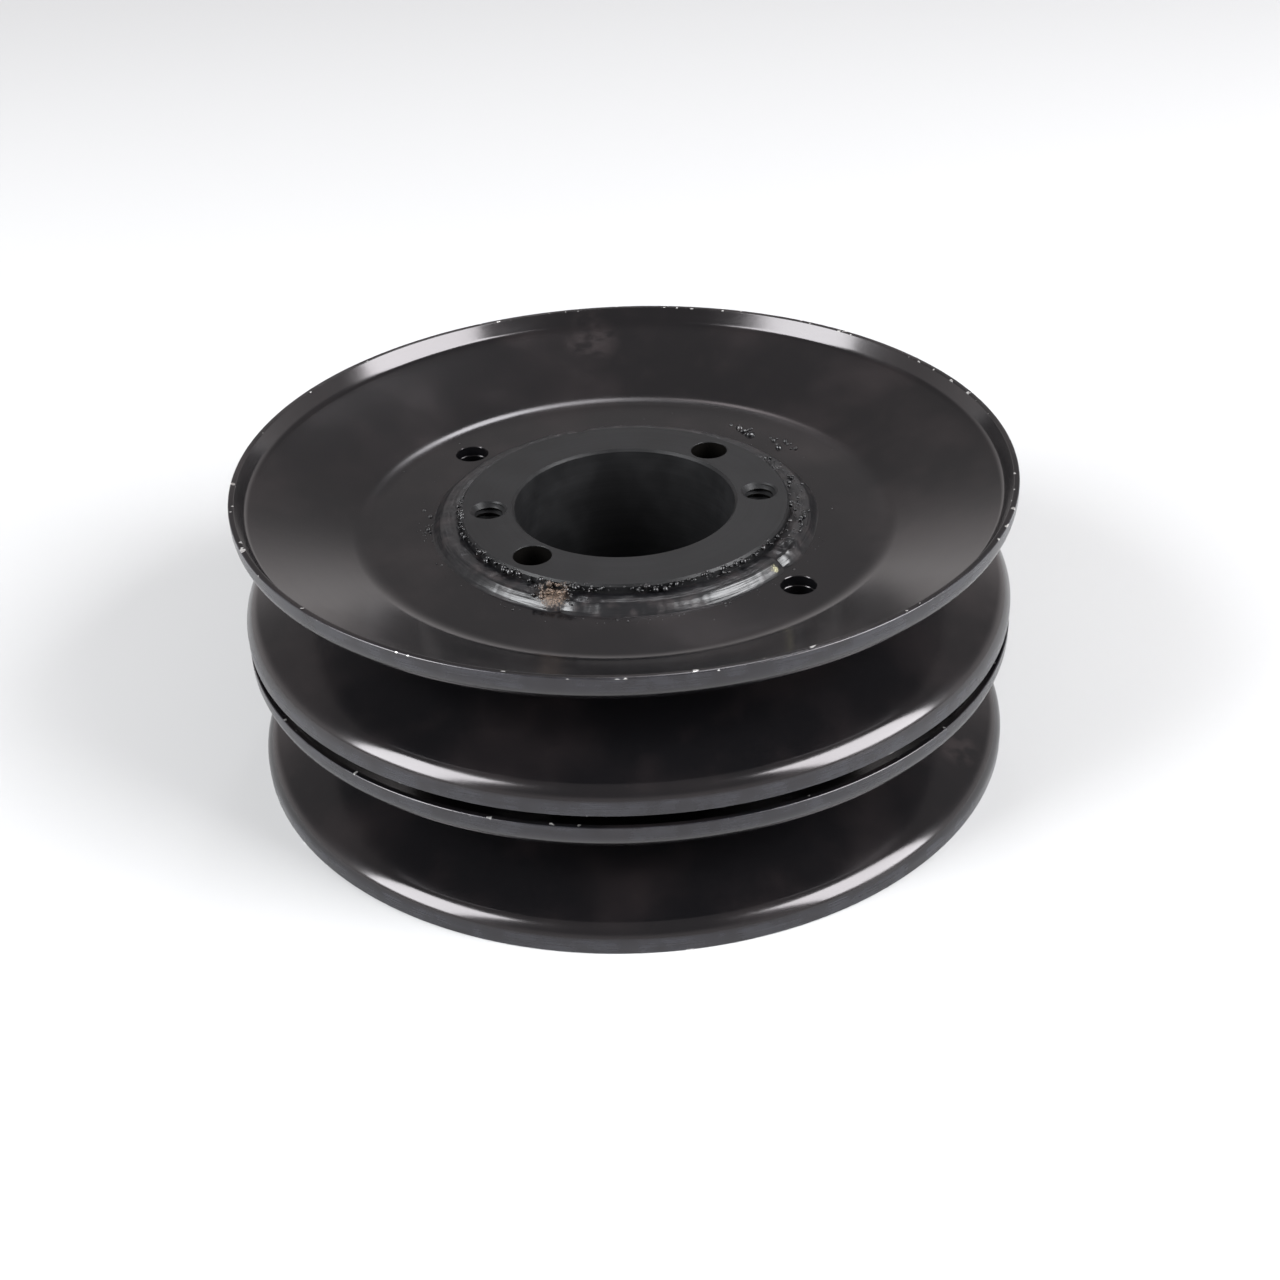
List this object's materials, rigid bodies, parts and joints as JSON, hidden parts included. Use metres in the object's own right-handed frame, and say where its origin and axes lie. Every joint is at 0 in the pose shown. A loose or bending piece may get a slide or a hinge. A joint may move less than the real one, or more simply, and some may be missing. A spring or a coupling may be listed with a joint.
{
  "type": "v belt pulley",
  "caption": "V-belt pulley of pressed steel discs set back to back on a taper-bored hub, welded round each end, with drilled and tapped holes for a split bushing.",
  "frame": {"origin": "on the shaft axis, halfway between the two grooves, which is the centre of the bounding box", "axes": "+Z along the shaft axis, towards the large end of the tapered bore; +X through the middle of a tapped hole of the hub"},
  "size_m": [0.1444, 0.1444, 0.0562],
  "materials": {
    "black_enamel": "gloss black enamel on pressed steel, lightly dusty and smudged",
    "hub_enamel": "thin satin black enamel over turned steel, with faint machining rings",
    "weld_enamel": "gloss black enamel over a rippled weld bead, with rough brown slag spots"
  },
  "bodies": {
    "root": {"hub": "hub_enamel", "spacer_ring": "black_enamel", "upper_sheave_outer_disc": "black_enamel", "upper_sheave_inner_disc": "black_enamel", "lower_sheave_outer_disc": "black_enamel", "lower_sheave_inner_disc": "black_enamel", "upper_weld_run_1": "weld_enamel", "upper_weld_run_2": "weld_enamel", "upper_weld_run_3": "weld_enamel", "lower_weld_run_1": "weld_enamel", "lower_weld_run_2": "weld_enamel", "lower_weld_run_3": "weld_enamel"}
  },
  "joints": []
}
